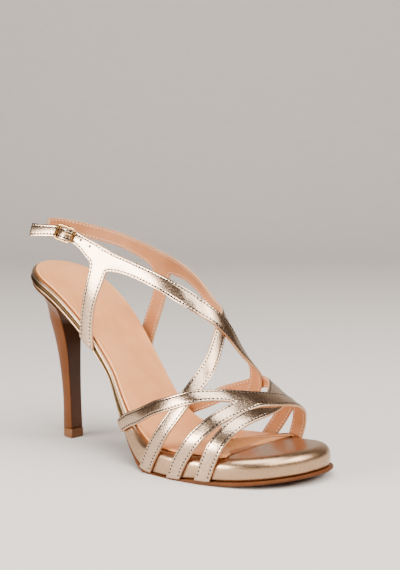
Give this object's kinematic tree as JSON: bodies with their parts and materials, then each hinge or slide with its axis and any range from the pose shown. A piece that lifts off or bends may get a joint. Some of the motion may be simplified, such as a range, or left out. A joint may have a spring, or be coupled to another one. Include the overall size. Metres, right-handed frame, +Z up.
{
  "type": "stiletto heel shoe",
  "caption": "Strappy platform sandal on a tall stiletto heel, with crossed metallic leather straps, a buckled slingback, a padded sock and a thin leather sole.",
  "frame": {"origin": "on the floor, under the middle of the shoe's box", "axes": "+X to the toe, +Y to the inner side of the right foot, +Z up"},
  "size_m": [0.209, 0.0808, 0.1326],
  "materials": {
    "sole_leather": "tan, sealed edge",
    "wrap_leather": "metallic pale gold foil",
    "sock_leather": "nude, soft satin",
    "heel_cover": "tan, glossy",
    "tip_rubber": "tan, matt",
    "strap_leather": "metallic pale gold foil, nude lining",
    "buckle_metal": "polished pale gold plating"
  },
  "bodies": {
    "root": {"outsole": "sole_leather", "footbed": "wrap_leather", "sock": "sock_leather", "heel": "heel_cover", "heel_tip": "tip_rubber", "upper": "strap_leather", "buckle_frame": "buckle_metal", "buckle_prong": "buckle_metal"}
  },
  "joints": []
}
